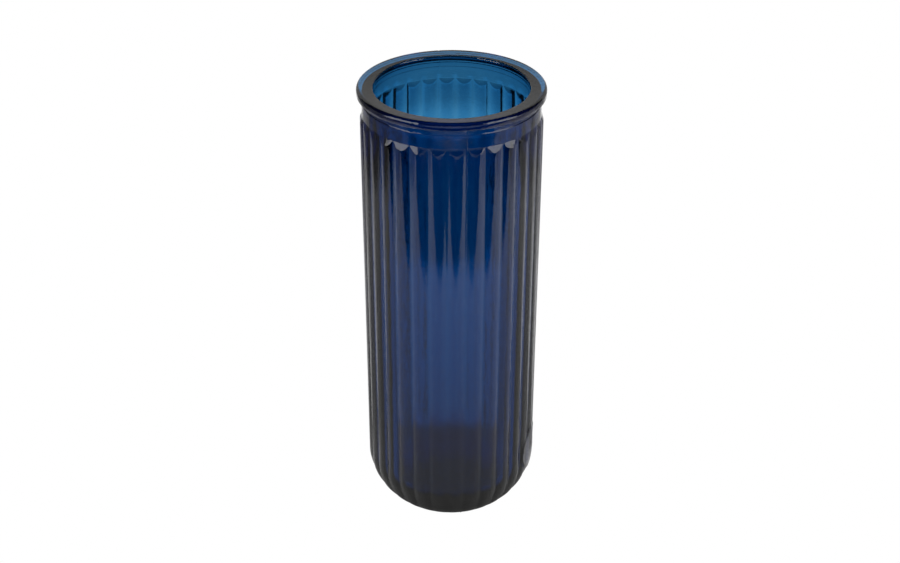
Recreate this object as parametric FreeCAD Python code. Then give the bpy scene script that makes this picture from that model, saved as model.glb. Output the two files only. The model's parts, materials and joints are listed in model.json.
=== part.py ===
import FreeCAD, Part
import math
import os

# Tall reeded glass vase, pressed and blown in a two-part mould with a separate neck ring.
# The glass is one casting. It is written as the zones that a glassmaker names, cut apart on flat
# planes that meet face to face: rim, collar, reeded wall, heel, base, and the raised round seal.
# Origin: centre of the bearing face. +Z is up the axis. The mould seam lies at -Y and +Y.

# ---- overall ----
HEIGHT = 300.0
REED_COUNT = 30
MOUTH_R = 47.4          # straight land inside the lip
SHOULDER_INNER_R = 48.5 # bore behind the collar
WALL_INNER_R = 50.0     # bore of the body, where the wall is thinner
SHOULDER_LOW_Z = 282.4  # the wall thins from here
WALL_TOP_Z = 258.0      # down to here

# ---- rim ring ----
RIM_R = 57.5
RIM_HEIGHT = 5.1
RIM_TOP_ROUND = 2.0
RIM_UNDER_ROUND = 1.0
LIP_ROUND = 1.0
LIP_DROP = 0.7          # the top falls this much from its outer edge to the lip

# ---- neck and collar ----
NECK_R = 53.9           # undercut below the rim
NECK_HEIGHT = 1.0
LEDGE_R = 54.25         # step left by the joint between neck ring and body mould
LEDGE_HEIGHT = 2.5
COLLAR_R = 54.6         # plain band; also the floor between two reeds
CHAMFER = 0.25
COLLAR_BOTTOM_Z = 282.4
LIP_BLEND_HEIGHT = 5.0  # bore opens from the lip land to the wall over this height

# ---- reeds ----
CREST_R = 56.0          # outermost line of each rounded reed
REED_ROUND = 9.2        # radius of the reed's own section
REED_END_HEIGHT = 3.9   # a cone cuts each reed off over this height, which leaves a pointed facet
REED_END_GAP = 0.1      # the cone meets the collar's radius this much below the collar

# ---- heel and base ----
HEEL_TOP_Z = 36.0
HEEL_END_R = 25.8       # the reeds run in under the heel as far as this
FOOT_RISE = 0.4         # the bearing face stands this much below the reeds
VALLEY_FOOT_RISE = 0.65 # the valleys run out to almost nothing under the foot
BEARING_R = 27.0        # flat bearing face, outer radius
BEARING_DEPTH = 3.0     # how far the bearing disc reaches up into the glass
PUSH_UP_R = 19.0        # shallow dome pressed up under the base
PUSH_UP_HEIGHT = 2.0
FLOOR_Z = 15.0          # glass is this thick in the middle
INNER_HEEL_ROUND = 21.0

# ---- raised round seal ----
SEAL_R = 16.0
SEAL_ANGLE = 66.0       # degrees from -Y towards +X
SEAL_Z = 42.0
SEAL_FIELD_RISE = 0.10  # plain field above the reed crests
SEAL_BORDER_RISE = 0.45
SEAL_BORDER_WIDTH = 1.8
SEAL_DOT_R = 3.2        # plain raised disc in the middle

AXIS = FreeCAD.Vector(0, 0, 1)
ORIGIN = FreeCAD.Vector(0, 0, 0)
PITCH = 360.0 / REED_COUNT
HALF = math.sqrt(0.5)

# The heel's outline is a large arc above and a small one below, tangent at 45 degrees.
REST = 1 - HALF
SPREAD = HALF ** 2 - REST ** 2


def heel_arcs(top_r, foot_z):
    """Radii of the upper and lower arc from a vertical wall at top_r down to a flat foot."""
    width = top_r - HEEL_END_R
    height = HEEL_TOP_Z - foot_z
    upper = (HALF * height - REST * width) / SPREAD
    lower = (HALF * width - REST * height) / SPREAD
    return upper, lower


def v(r, z):
    """Point of a radial section: distance from the axis and height."""
    return FreeCAD.Vector(r, 0, z)


def line(a, b):
    return Part.LineSegment(a, b).toShape()


def arc(centre, radius, start, end):
    """Arc of a radial section, angles in degrees from the outward direction, up positive."""
    mid = 0.5 * (start + end)
    points = []
    for angle in (start, mid, end):
        a = math.radians(angle)
        points.append(centre + FreeCAD.Vector(radius * math.cos(a), 0, radius * math.sin(a)))
    return Part.Arc(*points).toShape()


def revolve(edges):
    """Solid of revolution about the axis from the closed outline of a radial section."""
    face = Part.Face(Part.Wire(edges))
    solid = face.revolve(ORIGIN, AXIS, 360)
    return solid if solid.Volume > 0 else solid.reversed()


# ---- the space inside: lip land, opening bore, thinner wall, rounded inner heel, flat floor ----
def cavity():
    land_z = HEIGHT - RIM_HEIGHT
    blend_z = land_z - LIP_BLEND_HEIGHT
    heel_r = WALL_INNER_R - INNER_HEEL_ROUND
    heel_z = FLOOR_Z + INNER_HEEL_ROUND
    lip_z = HEIGHT - LIP_DROP
    edges = [
        line(v(0, FLOOR_Z), v(heel_r, FLOOR_Z)),
        arc(v(heel_r, heel_z), INNER_HEEL_ROUND, -90, 0),
        line(v(WALL_INNER_R, heel_z), v(WALL_INNER_R, WALL_TOP_Z)),
        line(v(WALL_INNER_R, WALL_TOP_Z), v(SHOULDER_INNER_R, SHOULDER_LOW_Z)),
        line(v(SHOULDER_INNER_R, SHOULDER_LOW_Z), v(SHOULDER_INNER_R, blend_z)),
        line(v(SHOULDER_INNER_R, blend_z), v(MOUTH_R, land_z)),
        line(v(MOUTH_R, land_z), v(MOUTH_R, lip_z - LIP_ROUND)),
        arc(v(MOUTH_R + LIP_ROUND, lip_z - LIP_ROUND), LIP_ROUND, 180, 90),
        line(v(MOUTH_R + LIP_ROUND, lip_z), v(MOUTH_R + LIP_ROUND, HEIGHT + 5)),
        line(v(MOUTH_R + LIP_ROUND, HEIGHT + 5), v(0, HEIGHT + 5)),
        line(v(0, HEIGHT + 5), v(0, FLOOR_Z)),
    ]
    return revolve(edges)


# ---- rim ring: wide top that falls slightly to the lip, rounded edges, flat underside ----
def rim_ring():
    low = HEIGHT - RIM_HEIGHT
    lip_r = MOUTH_R + LIP_ROUND
    lip_z = HEIGHT - LIP_DROP
    edges = [
        line(v(40, low), v(RIM_R - RIM_UNDER_ROUND, low)),
        arc(v(RIM_R - RIM_UNDER_ROUND, low + RIM_UNDER_ROUND), RIM_UNDER_ROUND, -90, 0),
        line(v(RIM_R, low + RIM_UNDER_ROUND), v(RIM_R, HEIGHT - RIM_TOP_ROUND)),
        arc(v(RIM_R - RIM_TOP_ROUND, HEIGHT - RIM_TOP_ROUND), RIM_TOP_ROUND, 0, 90),
        line(v(RIM_R - RIM_TOP_ROUND, HEIGHT), v(lip_r, lip_z)),
        line(v(lip_r, lip_z), v(40, lip_z)),
        line(v(40, lip_z), v(40, low)),
    ]
    return revolve(edges)


# ---- neck and collar: undercut, mould-joint ledge, plain band ----
def neck_collar():
    top = HEIGHT - RIM_HEIGHT
    neck_z = top - NECK_HEIGHT
    ledge_z = neck_z - LEDGE_HEIGHT
    points = [
        v(40, COLLAR_BOTTOM_Z),
        v(COLLAR_R, COLLAR_BOTTOM_Z),
        v(COLLAR_R, ledge_z - CHAMFER),
        v(LEDGE_R, ledge_z),
        v(LEDGE_R, neck_z - CHAMFER),
        v(NECK_R, neck_z),
        v(NECK_R, top),
        v(40, top),
    ]
    edges = []
    for index, point in enumerate(points):
        edges.append(line(point, points[(index + 1) % len(points)]))
    return revolve(edges)


# ---- body: plain core with thirty rounded reeds that end in sloping facets under the collar ----
def heel_outline(top_r, foot_z):
    """Heel of the radial section, from the foot up to the wall."""
    upper, lower = heel_arcs(top_r, foot_z)
    return [
        arc(v(HEEL_END_R, foot_z + lower), lower, -90, -45),
        arc(v(top_r - upper, HEEL_TOP_Z), upper, -45, 0),
    ]


def body_core():
    low = VALLEY_FOOT_RISE
    edges = [line(v(0, low), v(HEEL_END_R, low))]
    edges += heel_outline(COLLAR_R, low)
    edges += [
        line(v(COLLAR_R, HEEL_TOP_Z), v(COLLAR_R, COLLAR_BOTTOM_Z)),
        line(v(COLLAR_R, COLLAR_BOTTOM_Z), v(0, COLLAR_BOTTOM_Z)),
        line(v(0, COLLAR_BOTTOM_Z), v(0, low)),
    ]
    return revolve(edges).fuse(Part.makeCylinder(BEARING_R, BEARING_DEPTH))


def reed_section(x, z, normal):
    return Part.Face(Part.Wire(Part.Circle(v(x, z), normal, REED_ROUND).toShape()))


def reed_end(centre_x, low):
    """Top of a reed from a height up to the collar, cut off by the cone."""
    slope = (CREST_R - COLLAR_R) / REED_END_HEIGHT
    height = COLLAR_BOTTOM_Z - low
    top_r = COLLAR_R - slope * REED_END_GAP
    cone = Part.makeCone(top_r + slope * height, top_r, height, v(0, low))
    return Part.makeCylinder(REED_ROUND, height, v(centre_x, low), AXIS).common(cone)


def reed():
    """One reed on +X: sloping end, straight length, then round the two arcs of the heel."""
    centre_x = CREST_R - REED_ROUND
    end_z = COLLAR_BOTTOM_Z - 2 * REED_END_HEIGHT
    end = reed_end(centre_x, end_z)
    shaft = Part.makeCylinder(REED_ROUND, end_z - HEEL_TOP_Z, v(centre_x, HEEL_TOP_Z), AXIS)
    upper_arc, lower_arc = heel_arcs(CREST_R, FOOT_RISE)
    turn = FreeCAD.Vector(0, 1, 0)
    upper = reed_section(centre_x, HEEL_TOP_Z, AXIS).revolve(
        v(CREST_R - upper_arc, HEEL_TOP_Z), turn, 45)
    path = lower_arc - REED_ROUND
    hub_z = FOOT_RISE + lower_arc
    lower = reed_section(
        HEEL_END_R + path * HALF, hub_z - path * HALF, FreeCAD.Vector(HALF, 0, HALF),
    ).revolve(v(HEEL_END_R, hub_z), turn, 45)
    return [end, shaft, upper, lower]


def wedge(z0, z1):
    """Space of one reed, half a pitch either side of +X."""
    far = 80.0
    half = math.radians(PITCH / 2)
    a = FreeCAD.Vector(far, -far * math.tan(half), z0)
    b = FreeCAD.Vector(far, far * math.tan(half), z0)
    base = Part.Face(Part.makePolygon([v(0, z0), a, b, v(0, z0)]))
    return base.extrude(FreeCAD.Vector(0, 0, z1 - z0))


def reeded_zone(z0, z1, hollow):
    """Slice of the body between two heights, with every reed, less the space inside."""
    sector = body_core().common(wedge(z0, z1))
    for tool in reed():
        piece = tool.common(wedge(z0, z1))
        if piece.Volume > 1e-6:
            sector = sector.fuse(piece)
    sector = sector.removeSplitter()
    sector = sector.cut(hollow)
    sectors = []
    for index in range(REED_COUNT):
        copy = sector.copy()
        copy.rotate(ORIGIN, AXIS, -90 + PITCH * (index + 0.5))
        sectors.append(copy)
    zone = sectors[0].multiFuse(sectors[1:]).removeSplitter()
    return zone.Solids[0]


def push_up():
    """Shallow dome of space under the base."""
    radius = (PUSH_UP_R ** 2 + PUSH_UP_HEIGHT ** 2) / (2 * PUSH_UP_HEIGHT)
    ball = Part.makeSphere(radius, v(0, PUSH_UP_HEIGHT - radius))
    return ball.common(Part.makeCylinder(PUSH_UP_R + 5, 2 * PUSH_UP_HEIGHT, v(0, -PUSH_UP_HEIGHT), AXIS))


# ---- raised round seal: plain field, raised border and a plain middle disc ----
def crest_envelope(rise):
    """Body of revolution over the reed crests, grown outwards."""
    low = FOOT_RISE - rise
    edges = [
        line(v(0, HEEL_TOP_Z + 40), v(0, low)),
        line(v(0, low), v(HEEL_END_R, low)),
    ]
    edges += heel_outline(CREST_R + rise, low)
    edges += [
        line(v(CREST_R + rise, HEEL_TOP_Z), v(CREST_R + rise, HEEL_TOP_Z + 40)),
        line(v(CREST_R + rise, HEEL_TOP_Z + 40), v(0, HEEL_TOP_Z + 40)),
    ]
    return revolve(edges)


def seal(body_zones):
    angle = math.radians(SEAL_ANGLE)
    out = FreeCAD.Vector(math.sin(angle), -math.cos(angle), 0)
    start = out * (WALL_INNER_R + 1) + v(0, SEAL_Z)

    def plug(radius):
        return Part.makeCylinder(radius, 30, start, out)

    field = plug(SEAL_R).common(crest_envelope(SEAL_FIELD_RISE))
    border = plug(SEAL_R).cut(plug(SEAL_R - SEAL_BORDER_WIDTH))
    border = border.common(crest_envelope(SEAL_BORDER_RISE))
    dot = plug(SEAL_DOT_R).common(crest_envelope(SEAL_BORDER_RISE))
    shape = field.fuse(border).fuse(dot)
    for zone in body_zones:
        shape = shape.cut(zone)
    return max(shape.Solids, key=lambda solid: solid.Volume)


hollow = cavity()
nodes = {
    "rim_ring": rim_ring().cut(hollow).Solids[0],
    "neck_collar": neck_collar().cut(hollow).Solids[0],
    "reeded_wall": reeded_zone(HEEL_TOP_Z, COLLAR_BOTTOM_Z, hollow),
    "heel": reeded_zone(FLOOR_Z, HEEL_TOP_Z, hollow),
    "base": reeded_zone(0, FLOOR_Z, hollow.fuse(push_up())),
}
nodes["round_seal"] = seal([nodes["reeded_wall"], nodes["heel"]])

os.makedirs("parts", exist_ok=True)
for name, shape in nodes.items():
    shape.exportStep("parts/" + name + ".step")
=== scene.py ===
import json
import math

import bpy
import numpy as np
from mathutils import Matrix, Vector


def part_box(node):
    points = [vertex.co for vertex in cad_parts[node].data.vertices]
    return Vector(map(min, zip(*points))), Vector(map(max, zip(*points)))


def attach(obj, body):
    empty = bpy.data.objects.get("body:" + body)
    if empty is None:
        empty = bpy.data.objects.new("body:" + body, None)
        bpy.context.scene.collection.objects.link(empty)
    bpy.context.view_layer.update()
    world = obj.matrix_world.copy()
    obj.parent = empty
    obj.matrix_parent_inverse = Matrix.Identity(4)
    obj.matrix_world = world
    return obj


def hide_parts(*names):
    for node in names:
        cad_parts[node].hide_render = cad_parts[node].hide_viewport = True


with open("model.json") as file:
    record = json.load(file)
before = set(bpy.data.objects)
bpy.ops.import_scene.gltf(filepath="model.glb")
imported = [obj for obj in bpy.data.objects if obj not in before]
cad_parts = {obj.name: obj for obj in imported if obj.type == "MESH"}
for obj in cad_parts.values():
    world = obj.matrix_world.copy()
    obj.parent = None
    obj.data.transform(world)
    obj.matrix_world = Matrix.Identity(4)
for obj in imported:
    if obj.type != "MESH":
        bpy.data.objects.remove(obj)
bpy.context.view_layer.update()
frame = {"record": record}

# Blue moulded glass vase: one casting, drawn as one closed skin over the six CAD zones.
# Lengths are in millimetres until the mesh is made. Zone heights come from the CAD boxes.

MM = 0.001

# ---- taken from the CAD ----
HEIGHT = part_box("rim_ring")[1][2] / MM
RIM_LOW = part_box("rim_ring")[0][2] / MM
RIM_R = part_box("rim_ring")[1][0] / MM
COLLAR_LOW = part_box("neck_collar")[0][2] / MM
HEEL_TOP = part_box("heel")[1][2] / MM
FLOOR_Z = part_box("base")[1][2] / MM
MOUTH_R = frame["record"]["mounts"][0]["dims"]["r_mm"]

# ---- reeded wall ----
REEDS = 30
PITCH = 360.0 / REEDS
CREST_R = 56.0
COLLAR_R = 54.6
REED_ROUND = 9.2           # radius of the reed's own section
VALLEY_DEPTH = CREST_R - COLLAR_R
VALLEY_FILLET = 0.4
REED_END_HEIGHT = 3.9      # a cone cuts each reed off over this height
REED_END_LOW = COLLAR_LOW - 0.1 - REED_END_HEIGHT
REED_END_SLOPE = VALLEY_DEPTH / REED_END_HEIGHT

# ---- inside ----
SHOULDER_INNER_R = 48.5
WALL_INNER_R = 50.0
WALL_TOP = 258.0           # the wall thickens from here up to the collar
LIP_BLEND = 5.0
INNER_HEEL = 21.0
INNER_ECHO = 0.3           # the blown inner wall follows the reeds by this much
WAVE_SEED = 11
WAVES = (                  # waves round the wall, millimetres per radian up it, height
    (5, 70.0, 0.050), (9, 46.0, 0.035), (14, 33.0, 0.022), (23, 27.0, 0.014),
    (31, 21.0, 0.010), (37, 90.0, 0.010), (53, 120.0, 0.006), (61, 17.0, 0.005),
)

# ---- rim, neck and ledge ----
RIM_TOP_ROUND = 2.0
RIM_UNDER_ROUND = 1.0
LIP_ROUND = 1.0
LIP_Z = HEIGHT - 0.7
NECK_R = 53.9
NECK_LOW = RIM_LOW - 1.0
LEDGE_R = 54.25
LEDGE_LOW = NECK_LOW - 2.5

# ---- heel and base ----
HEEL_END_R = 25.8
FOOT_RISE = 0.4
VALLEY_FOOT_RISE = 0.65
VALLEY_FADE = (15.0, 62.0)  # degrees round the heel over which the valleys run out
BEARING_R = 27.0
PUSH_UP_R = 19.0
PUSH_UP_HEIGHT = 2.0

# ---- raised round seal ----
SEAL_R = 16.0
SEAL_ANGLE = math.radians(66.0)
SEAL_Z = 42.0
SEAL_BORDER = 1.8
SEAL_FIELD_RISE = 0.10
SEAL_RISE = 0.45
SEAL_DOT_R = 3.2
BORDER_SLOPE = (-0.5, 0.3)  # where each slope starts and ends, from its own edge
DOT_SLOPE = (-0.5, 0.4)
SEAL_SLOPE = (-0.6, 0.4)

# ---- mould seam ----
BODY_SEAM = 0.0                        # at -Y and +Y
RING_SEAM = math.radians(-0.9)         # the neck ring's seam is turned a little from the body's
SEAM_HALF_WIDTH = 0.28
SEAM_RISE = 0.32
RIM_GROOVE_SHARE = 0.5

# ---- mesh rows ----
HALF_REED = (1.3, 2.6, 3.6, 4.3, 4.7, 4.93, 5.07, 5.2, 5.36, 5.6, 5.82)
ARC_JOINT = -45                        # degrees: the heel's two arcs meet here
FOOT_START = -88
UPPER_HEEL_START = -41
FINE_LOW_Z = 26.0                      # rows lie close together from here to above the seal
SEAL_STEP = 1.0
COARSE = 2                             # every second angle, where nothing fine is drawn
INNER_LANDING = (1.0, 0.0, -1.2, -2.6, -4.0, -5.5)
INNER_FLOOR_RADII = (20.0, 13.0, 6.0)
PUSH_UP_RADII = (5.0, 9.0, 13.0, 16.5, 18.5)
FAR_AWAY = 99.0
DEEP = 9.0
SETTLE_STEPS = 12

# ---- glass ----
GLASS_IOR = 1.52
GLASS_TINT = (0.05, 0.555, 0.76, 1.0)
GLASS_DENSITY = 600.0                  # per metre
STREAK_STRETCH = (1.0, 1.0, 0.18)      # drawn out up the wall
STREAK_SCALE = 260.0
STREAK_DETAIL = 3.0
DIMPLE_SCALE = 900.0
DIMPLE_DETAIL = 2.0
DIMPLE_SHARE = 0.25
SURFACE_TINTS = ((0.3, (0.93, 0.96, 0.98, 1)), (0.7, (0.99, 0.995, 1.0, 1)))
ROUGHNESS = (0.3, 0.75, 0.004, 0.03)   # from the dimples' range to a roughness
BUMP_STRENGTH = 0.5
BUMP_DISTANCE = 0.00025                # metres

# ---- camera, in metres ----
CAMERA_AZIMUTH = math.radians(-9.4)
CAMERA_ELEVATION = math.radians(30.42)
CAMERA_DISTANCE = 0.9583
CAMERA_ROLL = math.radians(0.138)
CAMERA_LENS = 59.16
SENSOR_WIDTH = 36.0
CLIP_NEAR = 0.01
CLIP_FAR = 50.0
AIM_HEIGHT = 0.16271
AIM_SIDE = -0.00069

# ---- stage, in metres ----
WHITE = (1, 1, 1, 1)
FLOOR_HALF = 40.0
FLOOR_GAP = 0.0002                     # the floor lies this much below the bearing face
TABLE_LIGHT = 1.1
TABLE_EDGE = 0.39                      # the floor's light stops this far in front
EDGE_BLUR = 0.012
DARK_END = 0.72                        # and comes back from here on
DARK_END_BLUR = 0.1
FAR_FRONT = 0.6
SHADE_BEHIND = 2.0                     # behind the vase its shade fades this much faster
SHADE_LEVELS = (                       # light against distance from the vase
    (0.0, 0.02), (0.045, 0.12), (0.065, 0.4), (0.10, 0.58), (0.25, 0.63), (0.45, 0.82),
    (1.0, 1.0),
)
BEHIND_LEVELS = (                      # light against distance behind the vase
    (0.02, 1.0), (0.045, 0.5), (0.057, 0.42), (0.067, 1.0), (0.19, 0.95), (0.295, 0.95),
    (0.315, 0.5), (0.56, 0.5), (0.636, 1.0), (0.68, 0.97), (0.72, 0.8), (0.75, 0.62),
)
ACROSS_LEVELS = (                      # light from left to right, over two metres
    (0.22, 0.22), (0.25, 0.8), (0.5, 0.85), (0.75, 1.0), (0.78, 0.6),
)
PANELS = (  # name, degrees from the camera's side, distance, height, half sizes, level
    ("soft_panel_left", -60, 0.9, 0.54, 0.33, 0.42, 3.0),
    ("soft_panel_right", 60, 0.9, 0.54, 0.33, 0.42, 3.0),
    ("backdrop", 180, 2.0, 1.0, 2.2, 1.2, 0.5),
)
HORIZON = (0.05, 0.16)                 # rise of a direction over which the horizon's glow fades
HORIZON_GLOW = 0.35
ROOM_LEVEL = 0.01


# ---------------------------------------------------------------- angles
def fine_angles():
    """All sample angles, from -Y towards +X, close together at the reeds' valleys."""
    offsets = [-PITCH / 2] + [-a for a in reversed(HALF_REED)] + [0.0] + list(HALF_REED)
    angles = []
    for reed in range(REEDS):
        for offset in offsets:
            angles.append(PITCH * (reed + 0.5) + offset)
    return np.radians(np.array(angles))


PHI = fine_angles()
DELTA = np.mod(PHI, math.radians(PITCH)) - math.radians(PITCH / 2)  # from the reed's crest


def soft_min(a, b, k):
    """Smaller of the two with a rounded corner of size k."""
    h = np.clip(0.5 + 0.5 * (b - a) / k, 0, 1)
    return b * (1 - h) + a * h - k * h * (1 - h)


def smooth(x, low, high):
    """0 below low, 1 above high, and a soft step between."""
    t = np.clip((x - low) / (high - low), 0, 1)
    return t * t * (3 - 2 * t)


def angle_from(centre, turn=0.0):
    """Every sample angle, measured from centre plus turn and kept within half a turn."""
    return np.mod(PHI - centre - turn + math.pi, 2 * math.pi) - math.pi


def seam_bump(turn):
    """Height of the mould seam's fine ridge at every angle; turn moves it round."""
    rise = np.zeros_like(PHI)
    for centre in (0.0, math.pi):
        rise += np.exp(-(angle_from(centre, turn) * COLLAR_R / SEAM_HALF_WIDTH) ** 2)
    return SEAM_RISE * rise


# ---------------------------------------------------------------- outer wall
def heel_arcs(top_r, foot_z):
    """Radii of the heel's upper and lower arc, tangent at 45 degrees."""
    half = math.sqrt(0.5)
    rest = 1 - half
    spread = half ** 2 - rest ** 2
    width = top_r - HEEL_END_R
    height = HEEL_TOP - foot_z
    return (half * height - rest * width) / spread, (half * width - rest * height) / spread


UPPER, LOWER = heel_arcs(CREST_R, FOOT_RISE)
CORE_UPPER, CORE_LOWER = heel_arcs(COLLAR_R, VALLEY_FOOT_RISE)


def outline(s):
    """Point and outward normal of the crests' outline.

    s is an angle from -90 to 0 degrees round the heel, and then a height above it.
    """
    if s > 0:
        return (CREST_R, HEEL_TOP + s), (1.0, 0.0)
    if s <= ARC_JOINT:
        centre = (HEEL_END_R, FOOT_RISE + LOWER)
        radius = LOWER
    else:
        centre = (CREST_R - UPPER, HEEL_TOP)
        radius = UPPER
    normal = (math.cos(math.radians(s)), math.sin(math.radians(s)))
    return (centre[0] + radius * normal[0], centre[1] + radius * normal[1]), normal


def reed_inset(point, normal):
    """How far the reed's surface lies inside the crest outline, at every angle."""
    cx = point[0] - REED_ROUND * normal[0]
    cz = point[1] - REED_ROUND * normal[1]
    x = np.full_like(DELTA, point[0])
    q = np.full_like(DELTA, REED_ROUND)
    inside = np.zeros_like(DELTA)
    for _ in range(SETTLE_STEPS):
        inside = REED_ROUND ** 2 - (x * np.tan(DELTA)) ** 2
        q = np.sqrt(np.maximum(inside, 0))
        x = cx + q * normal[0]
    r = x / np.cos(DELTA)
    z = cz + q * normal[1]
    t = (point[0] - r) * normal[0] + (point[1] - z) * normal[1]
    end = (point[1] - REED_END_LOW) * REED_END_SLOPE
    return np.maximum(np.where(inside > 0, t, DEEP), end)


def core_inset(point, normal):
    """Depth of the valleys round the heel: full at its top, running out under the foot."""
    a = math.atan2(normal[1], normal[0])
    if a < math.radians(ARC_JOINT):
        core_r = HEEL_END_R + CORE_LOWER * math.cos(a)
        core_z = VALLEY_FOOT_RISE + CORE_LOWER + CORE_LOWER * math.sin(a)
    else:
        core_r = COLLAR_R - CORE_UPPER + CORE_UPPER * math.cos(a)
        core_z = HEEL_TOP + CORE_UPPER * math.sin(a)
    return (point[0] - core_r) * normal[0] + (point[1] - core_z) * normal[1]


def seal_rise(point):
    """Height of the seal above the crest outline, and where it is, at every angle."""
    away = angle_from(SEAL_ANGLE)
    reach = np.hypot(point[0] * np.sin(away), point[1] - SEAL_Z)
    reach = np.where(np.abs(away) < math.pi / 2, reach, FAR_AWAY)
    border_r = SEAL_R - SEAL_BORDER
    border = smooth(reach, border_r + BORDER_SLOPE[0], border_r + BORDER_SLOPE[1])
    dot = 1 - smooth(reach, SEAL_DOT_R + DOT_SLOPE[0], SEAL_DOT_R + DOT_SLOPE[1])
    rise = SEAL_FIELD_RISE + (SEAL_RISE - SEAL_FIELD_RISE) * np.maximum(border, dot)
    here = 1 - smooth(reach, SEAL_R + SEAL_SLOPE[0], SEAL_R + SEAL_SLOPE[1])
    return rise, here


def outer_row(s):
    """One row round the reeds, with the seal and the body mould's seam."""
    point, normal = outline(s)
    t = soft_min(reed_inset(point, normal), VALLEY_DEPTH, VALLEY_FILLET)
    t = np.maximum(t, 0.0)
    if point[1] > COLLAR_LOW - 0.05:
        t = np.full_like(PHI, VALLEY_DEPTH)
    if s < 0:
        fade = 1 - float(smooth(-s, *VALLEY_FADE))
        t = t * core_inset(point, normal) / VALLEY_DEPTH * fade
    rise, here = seal_rise(point)
    t = t * (1 - here) - rise * here
    t = t - seam_bump(BODY_SEAM) * (1 - here)
    return point[0] - t * normal[0], point[1] - t * normal[1]


def outer_rows():
    """Rows from the foot of the heel up to the collar."""
    fine_low = math.degrees(math.asin((FINE_LOW_Z - HEEL_TOP) / UPPER))
    seal_top = SEAL_Z + SEAL_R
    places = [
        np.linspace(FOOT_START, ARC_JOINT, 9),
        np.linspace(UPPER_HEEL_START, fine_low, 9),
        np.linspace(fine_low, 0, 12)[1:],
        np.arange(HEEL_TOP + 1, seal_top + 2.1, SEAL_STEP) - HEEL_TOP,
        np.linspace(seal_top + 10, REED_END_LOW - 2, 9) - HEEL_TOP,
        np.linspace(REED_END_LOW - 0.1, COLLAR_LOW + 0.1, 16) - HEEL_TOP,
    ]
    return [outer_row(s) for s in np.concatenate(places)]


# ---------------------------------------------------------------- collar, rim, inside, base
def ring_row(r, z, seam=None):
    """Plain round row. seam is how far the mould's ridge is turned, or None where none is."""
    radius = np.full_like(PHI, r)
    if seam is not None:
        radius = radius + seam_bump(seam)
    return radius, np.full_like(PHI, z)


def collar_rows():
    """Plain collar, the ledge left by the moulds' joint, and the undercut neck."""
    profile = (
        (COLLAR_R, COLLAR_LOW + 0.4, BODY_SEAM),
        (COLLAR_R, COLLAR_LOW + 0.8, BODY_SEAM),
        (COLLAR_R, LEDGE_LOW - 0.6, BODY_SEAM),
        (COLLAR_R, LEDGE_LOW - 0.4, BODY_SEAM),
        (COLLAR_R - 0.12, LEDGE_LOW - 0.14, BODY_SEAM),
        (LEDGE_R, LEDGE_LOW, RING_SEAM),
        (LEDGE_R, LEDGE_LOW + 0.15, RING_SEAM),
        (LEDGE_R, NECK_LOW - 0.55, RING_SEAM),
        (LEDGE_R, NECK_LOW - 0.4, RING_SEAM),
        (LEDGE_R - 0.1, NECK_LOW - 0.12, RING_SEAM),
        (NECK_R, NECK_LOW + 0.05, RING_SEAM),
        (NECK_R, RIM_LOW - 0.35, RING_SEAM),
        (NECK_R + 0.12, RIM_LOW - 0.1, RING_SEAM),
        (NECK_R + 0.4, RIM_LOW, RING_SEAM),
    )
    return [ring_row(r, z, seam) for r, z, seam in profile]


def arc_rows(cr, cz, radius, start, end, count):
    """Rows round a small rounding, from start to end degrees."""
    rows = []
    for a in np.radians(np.linspace(start, end, count)):
        rows.append(ring_row(cr + radius * math.cos(a), cz + radius * math.sin(a)))
    return rows


def rim_rows():
    """Rim ring from its underside to the lip; the top falls slightly inwards."""
    under = RIM_R - RIM_UNDER_ROUND
    top = RIM_R - RIM_TOP_ROUND
    lip = MOUTH_R + LIP_ROUND
    rows = arc_rows(under, RIM_LOW + RIM_UNDER_ROUND, RIM_UNDER_ROUND, -90, -6, 5)
    rows += arc_rows(top, HEIGHT - RIM_TOP_ROUND, RIM_TOP_ROUND, 4, 92, 8)
    for share in (0.15, 0.5, 0.85):
        rows.append(ring_row(top + (lip - top) * share, HEIGHT + (LIP_Z - HEIGHT) * share))
    rows += arc_rows(lip, LIP_Z - LIP_ROUND, LIP_ROUND, 88, 180, 6)
    groove = RIM_GROOVE_SHARE * seam_bump(RING_SEAM)
    return [ring_row(under - 0.8, RIM_LOW)] + [(r - groove, z - groove) for r, z in rows]


def inner_wall(z):
    """Radius inside at a height: lip land, opening blend, shoulder, thinner wall."""
    land = float(smooth(np.array(z), RIM_LOW - LIP_BLEND - 0.5, RIM_LOW + 0.5))
    thin = 1 - float(smooth(np.array(z), WALL_TOP - 6, COLLAR_LOW + 2))
    wall = SHOULDER_INNER_R + (WALL_INNER_R - SHOULDER_INNER_R) * thin
    return wall + (MOUTH_R - wall) * land


def uneven(z):
    """Unevenness of the blown inner wall: streaks and shallow pools."""
    rng = np.random.default_rng(WAVE_SEED)
    total = np.zeros_like(PHI)
    for order, rate, size in WAVES:
        a, b, c = rng.uniform(0, 2 * math.pi, 3)
        drift = np.sin(PHI * 3 + c) * 0.7
        total += size * np.sin(order * PHI + a) * np.sin(z / rate + b + drift)
    return total


def inner_row(r, z, share):
    """Inside row: the reeds show faintly through the blown wall, by share."""
    waves = INNER_ECHO * np.cos(DELTA * REEDS) - uneven(z)
    return r + waves * share, np.full_like(PHI, z)


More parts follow.
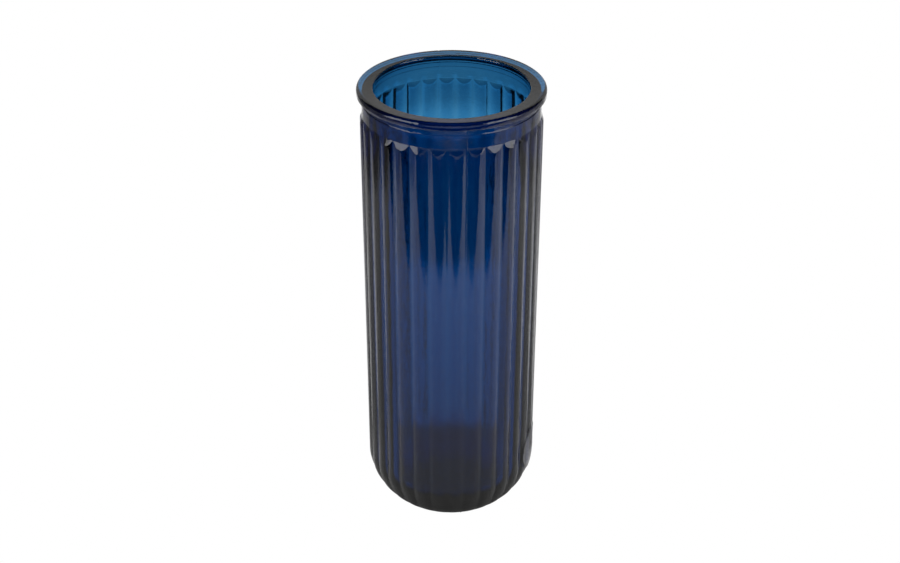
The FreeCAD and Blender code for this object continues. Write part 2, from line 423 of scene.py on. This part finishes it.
def inner_rows():
    """Rows down the inside, from the lip land to the middle of the floor."""
    rows = []
    for z in [LIP_Z - 2.2] + [RIM_LOW + drop for drop in INNER_LANDING]:
        rows.append(inner_row(inner_wall(z), z, 0.0))
    heel_z = FLOOR_Z + INNER_HEEL
    for z in np.linspace(RIM_LOW - 9, heel_z + 2, 34):
        rows.append(inner_row(inner_wall(z), z, min((RIM_LOW - z - 5.5) / 10, 1.0)))
    centre = WALL_INNER_R - INNER_HEEL
    for a in np.linspace(0, -90, 14):
        c = math.cos(math.radians(a))
        d = math.sin(math.radians(a))
        share = max(1 + a / 60, 0.0)
        rows.append(inner_row(centre + INNER_HEEL * c, heel_z + INNER_HEEL * d, share))
    for r in INNER_FLOOR_RADII:
        rows.append(inner_row(r, FLOOR_Z, 0.0))
    return rows


def base_rows():
    """Under the base: push-up dome, flat bearing ring, and its small step out to the reeds."""
    rows = []
    dome = (PUSH_UP_R ** 2 + PUSH_UP_HEIGHT ** 2) / (2 * PUSH_UP_HEIGHT)
    for r in PUSH_UP_RADII:
        rows.append(ring_row(r, PUSH_UP_HEIGHT - dome + math.sqrt(dome ** 2 - r ** 2)))
    rows.append(ring_row(PUSH_UP_R + 0.6, 0.02))
    rows.append(ring_row(PUSH_UP_R + 1.5, 0.0))
    rows.append(ring_row(BEARING_R - 0.4, 0.0))
    rows.append(ring_row(BEARING_R - 0.1, 0.12))
    return rows


# ---------------------------------------------------------------- mesh
def bridge(ring_a, ring_b):
    """Faces between two rings of points. One of them may have half as many as the other."""
    a, na = ring_a
    b, nb = ring_b
    faces = []
    for j in range(min(na, nb)):
        k = (j + 1) % min(na, nb)
        if na == nb:
            faces.append((a + k, a + j, b + j, b + k))
        elif na < nb:
            faces.append((a + j, b + 2 * j, b + 2 * j + 1))
            faces.append((a + k, a + j, b + 2 * j + 1))
            faces.append((a + k, b + 2 * j + 1, b + (2 * j + 2) % nb))
        else:
            faces.append((a + 2 * j + 1, a + 2 * j, b + j))
            faces.append((a + 2 * j + 1, b + j, b + k))
            faces.append((a + (2 * j + 2) % na, a + 2 * j + 1, b + k))
    return faces


def build_vessel():
    """The whole casting as one closed mesh: under the base, up the outside, down the inside."""
    points = [(0.0, 0.0, PUSH_UP_HEIGHT * MM)]
    rings = []
    rows = [(row, COARSE) for row in base_rows()]
    rows += [(row, 1) for row in outer_rows() + collar_rows()]
    rows += [(row, COARSE) for row in rim_rows() + inner_rows()]
    for (r, z), step in rows:
        r, z, phi = r[::step], z[::step], PHI[::step]
        rings.append((len(points), len(phi)))
        points.extend(zip(r * np.sin(phi) * MM, -r * np.cos(phi) * MM, z * MM))
    points.append((0.0, 0.0, FLOOR_Z * MM))
    last = len(points) - 1

    first, count = rings[0]
    faces = [(0, first + j, first + (j + 1) % count) for j in range(count)]
    for ring_a, ring_b in zip(rings, rings[1:]):
        faces += bridge(ring_a, ring_b)
    first, count = rings[-1]
    faces += [(last, first + (j + 1) % count, first + j) for j in range(count)]

    mesh = bpy.data.meshes.new("glass_vessel")
    mesh.from_pydata(points, [], faces)
    mesh.validate()
    mesh.flip_normals()
    mesh.update()
    for polygon in mesh.polygons:
        polygon.use_smooth = True
    obj = bpy.data.objects.new("glass_vessel", mesh)
    bpy.context.scene.collection.objects.link(obj)
    return obj


# ---------------------------------------------------------------- nodes
def new_material(name):
    """Empty node material, its node tree and its output node."""
    mat = bpy.data.materials.new(name)
    mat.use_nodes = True
    tree = mat.node_tree
    tree.nodes.clear()
    return mat, tree, tree.nodes.new("ShaderNodeOutputMaterial")


def math_node(tree, operation, *values):
    """Math node. Each value is a number or an output to link."""
    node = tree.nodes.new("ShaderNodeMath")
    node.operation = operation
    for socket, value in zip(node.inputs, values):
        if isinstance(value, bpy.types.NodeSocket):
            tree.links.new(value, socket)
        else:
            socket.default_value = value
    return node.outputs["Value"]


def map_range(tree, value, low, high, to_low, to_high, kind="LINEAR"):
    node = tree.nodes.new("ShaderNodeMapRange")
    node.interpolation_type = kind
    node.inputs["From Min"].default_value = low
    node.inputs["From Max"].default_value = high
    node.inputs["To Min"].default_value = to_low
    node.inputs["To Max"].default_value = to_high
    tree.links.new(value, node.inputs["Value"])
    return node.outputs["Result"]


def colour_ramp(tree, value, stops):
    """Ramp through (place, colour) stops, in order of place."""
    node = tree.nodes.new("ShaderNodeValToRGB")
    elements = node.color_ramp.elements
    for index in (0, -1):
        elements[index].position, elements[index].color = stops[index]
    for place, colour in stops[1:-1]:
        elements.new(place).color = colour
    tree.links.new(value, node.inputs["Fac"])
    return node.outputs["Color"]


def grey_ramp(tree, value, levels):
    return colour_ramp(tree, value, [(place, (v, v, v, 1)) for place, v in levels])


def noise(tree, vector, scale, detail):
    node = tree.nodes.new("ShaderNodeTexNoise")
    node.inputs["Scale"].default_value = scale
    node.inputs["Detail"].default_value = detail
    tree.links.new(vector, node.inputs["Vector"])
    return node.outputs["Fac"]


def white_to_camera(tree, level):
    """Full white on camera rays, and the given level for everything the glass sees."""
    path = tree.nodes.new("ShaderNodeLightPath")
    pick = tree.nodes.new("ShaderNodeMix")
    pick.data_type = "FLOAT"
    tree.links.new(path.outputs["Is Camera Ray"], pick.inputs[0])
    tree.links.new(level, pick.inputs[2])
    pick.inputs[3].default_value = 1.0
    return pick.outputs[0]


# ---------------------------------------------------------------- glass
def glass_material():
    """Clear refracting glass, tinted by its thickness, with fine streaks and dimples."""
    mat, tree, out = new_material("blue_glass")
    shader = tree.nodes.new("ShaderNodeBsdfPrincipled")
    shader.inputs["Transmission Weight"].default_value = 1.0
    shader.inputs["IOR"].default_value = GLASS_IOR
    tree.links.new(shader.outputs["BSDF"], out.inputs["Surface"])

    volume = tree.nodes.new("ShaderNodeVolumeAbsorption")
    volume.inputs["Color"].default_value = GLASS_TINT
    volume.inputs["Density"].default_value = GLASS_DENSITY
    tree.links.new(volume.outputs["Volume"], out.inputs["Volume"])

    coords = tree.nodes.new("ShaderNodeTexCoord")
    stretch = tree.nodes.new("ShaderNodeMapping")
    stretch.inputs["Scale"].default_value = STREAK_STRETCH
    tree.links.new(coords.outputs["Object"], stretch.inputs["Vector"])
    streaks = noise(tree, stretch.outputs["Vector"], STREAK_SCALE, STREAK_DETAIL)
    dimples = noise(tree, coords.outputs["Object"], DIMPLE_SCALE, DIMPLE_DETAIL)

    tint = colour_ramp(tree, streaks, SURFACE_TINTS)
    tree.links.new(tint, shader.inputs["Base Color"])
    tree.links.new(map_range(tree, dimples, *ROUGHNESS), shader.inputs["Roughness"])

    bump = tree.nodes.new("ShaderNodeBump")
    bump.inputs["Strength"].default_value = BUMP_STRENGTH
    bump.inputs["Distance"].default_value = BUMP_DISTANCE
    ripple = math_node(tree, "MULTIPLY_ADD", dimples, DIMPLE_SHARE, streaks)
    tree.links.new(ripple, bump.inputs["Height"])
    tree.links.new(bump.outputs["Normal"], shader.inputs["Normal"])
    return mat


vessel = build_vessel()
vessel.data.materials.append(glass_material())
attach(vessel, "root")
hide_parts("rim_ring", "neck_collar", "reeded_wall", "heel", "base", "round_seal")


# ---------------------------------------------------------------- camera
camera_side = Vector((math.cos(CAMERA_AZIMUTH), math.sin(CAMERA_AZIMUTH), 0))
camera_back = Vector((
    math.sin(CAMERA_AZIMUTH) * math.cos(CAMERA_ELEVATION),
    -math.cos(CAMERA_AZIMUTH) * math.cos(CAMERA_ELEVATION),
    math.sin(CAMERA_ELEVATION),
))
camera_up = camera_back.cross(camera_side)


def make_camera():
    data = bpy.data.cameras.new("camera")
    data.sensor_width = SENSOR_WIDTH
    data.lens = CAMERA_LENS
    data.clip_start = CLIP_NEAR
    data.clip_end = CLIP_FAR
    obj = bpy.data.objects.new("camera", data)
    bpy.context.scene.collection.objects.link(obj)
    x = math.cos(CAMERA_ROLL) * camera_side + math.sin(CAMERA_ROLL) * camera_up
    y = -math.sin(CAMERA_ROLL) * camera_side + math.cos(CAMERA_ROLL) * camera_up
    matrix = Matrix((x, y, camera_back)).transposed().to_4x4()
    aim = Vector((0, 0, AIM_HEIGHT)) + AIM_SIDE * camera_side
    matrix.translation = aim + CAMERA_DISTANCE * camera_back
    obj.matrix_world = matrix
    bpy.context.scene.camera = obj


make_camera()


# ---------------------------------------------------------------- stage
def plane(name, centre, half_w, half_h, facing, mat, hidden=True):
    """Flat rectangle whose face looks along facing. hidden keeps it out of the picture."""
    mesh = bpy.data.meshes.new(name)
    corners = [
        (-half_w, -half_h, 0), (half_w, -half_h, 0), (half_w, half_h, 0), (-half_w, half_h, 0),
    ]
    mesh.from_pydata(corners, [], [(0, 1, 2, 3)])
    obj = bpy.data.objects.new(name, mesh)
    bpy.context.scene.collection.objects.link(obj)
    if facing != (0, 0, 1):
        obj.rotation_euler = Vector(facing).to_track_quat("Z", "Y").to_euler()
    obj.location = centre
    mesh.materials.append(mat)
    obj.visible_camera = not hidden


def floor_material():
    """Pale floor: plain white to the camera. What the glass sees of it has brighter and darker
    zones, as a studio's lamps and cards give: the vase's own soft shade, a dark strip in front,
    and bands behind. The zones are lined up with the main view and stay put in the others."""
    mat, tree, out = new_material("pale_table")
    glow = tree.nodes.new("ShaderNodeEmission")
    glow.inputs["Color"].default_value = WHITE
    tree.links.new(glow.outputs["Emission"], out.inputs["Surface"])

    coords = tree.nodes.new("ShaderNodeTexCoord")
    turn = tree.nodes.new("ShaderNodeMapping")
    turn.vector_type = "TEXTURE"
    turn.inputs["Rotation"].default_value = (0, 0, CAMERA_AZIMUTH)
    tree.links.new(coords.outputs["Object"], turn.inputs["Vector"])
    split = tree.nodes.new("ShaderNodeSeparateXYZ")
    tree.links.new(turn.outputs["Vector"], split.inputs["Vector"])
    across = split.outputs["X"]
    depth = split.outputs["Y"]
    length = tree.nodes.new("ShaderNodeVectorMath")
    length.operation = "LENGTH"
    tree.links.new(coords.outputs["Object"], length.inputs[0])

    near = map_range(
        tree, depth, -TABLE_EDGE - EDGE_BLUR, -TABLE_EDGE + EDGE_BLUR, 0.0, 1.0, "SMOOTHSTEP")
    beyond = map_range(
        tree, depth, -DARK_END, -DARK_END + DARK_END_BLUR, FAR_FRONT, 0.0, "SMOOTHSTEP")
    behind = math_node(tree, "MAXIMUM", depth, 0.0)
    reach = math_node(tree, "MULTIPLY_ADD", behind, SHADE_BEHIND, length.outputs["Value"])
    sideways = map_range(tree, across, -1.0, 1.0, 0.0, 1.0)
    lit = math_node(tree, "MAXIMUM", near, beyond)
    lit = math_node(tree, "MULTIPLY", lit, grey_ramp(tree, reach, SHADE_LEVELS))
    lit = math_node(tree, "MULTIPLY", lit, grey_ramp(tree, depth, BEHIND_LEVELS))
    lit = math_node(tree, "MULTIPLY", lit, grey_ramp(tree, sideways, ACROSS_LEVELS))
    lit = math_node(tree, "MULTIPLY", lit, TABLE_LIGHT)
    tree.links.new(white_to_camera(tree, lit), glow.inputs["Strength"])
    return mat


def panel_material(name, level):
    mat, tree, out = new_material(name)
    glow = tree.nodes.new("ShaderNodeEmission")
    glow.inputs["Color"].default_value = WHITE
    glow.inputs["Strength"].default_value = level
    tree.links.new(glow.outputs["Emission"], out.inputs["Surface"])
    return mat


def around(turn, distance, height):
    """Place round the vase, turn degrees from the camera's side, and the way back to it."""
    a = math.radians(turn)
    forward = Vector((camera_back.x, camera_back.y, 0)).normalized()
    direction = math.cos(a) * forward + math.sin(a) * camera_side
    return direction * distance + Vector((0, 0, height)), -direction


def studio_world():
    """Plain white to the camera. In the glass it is a dark room with a glow at the horizon."""
    world = bpy.data.worlds.new("studio")
    world.use_nodes = True
    tree = world.node_tree
    background = tree.nodes["Background"]
    background.inputs["Color"].default_value = WHITE
    coords = tree.nodes.new("ShaderNodeTexCoord")
    split = tree.nodes.new("ShaderNodeSeparateXYZ")
    tree.links.new(coords.outputs["Generated"], split.inputs["Vector"])
    rise = math_node(tree, "ABSOLUTE", split.outputs["Z"])
    glow = map_range(tree, rise, *HORIZON, HORIZON_GLOW, ROOM_LEVEL, "SMOOTHSTEP")
    tree.links.new(white_to_camera(tree, glow), background.inputs["Strength"])
    return world


plane(
    "table_top", (0, 0, -FLOOR_GAP), FLOOR_HALF, FLOOR_HALF, (0, 0, 1), floor_material(),
    hidden=False)
for name, turn, distance, height, half_w, half_h, level in PANELS:
    centre, facing = around(turn, distance, height)
    plane(name, centre, half_w, half_h, facing, panel_material(name, level))

scene = bpy.context.scene
scene.world = studio_world()
scene.view_settings.view_transform = "Standard"
scene.view_settings.look = "None"
scene.view_settings.exposure = 0.0
scene.view_settings.gamma = 1.0

bpy.context.view_layer.update()
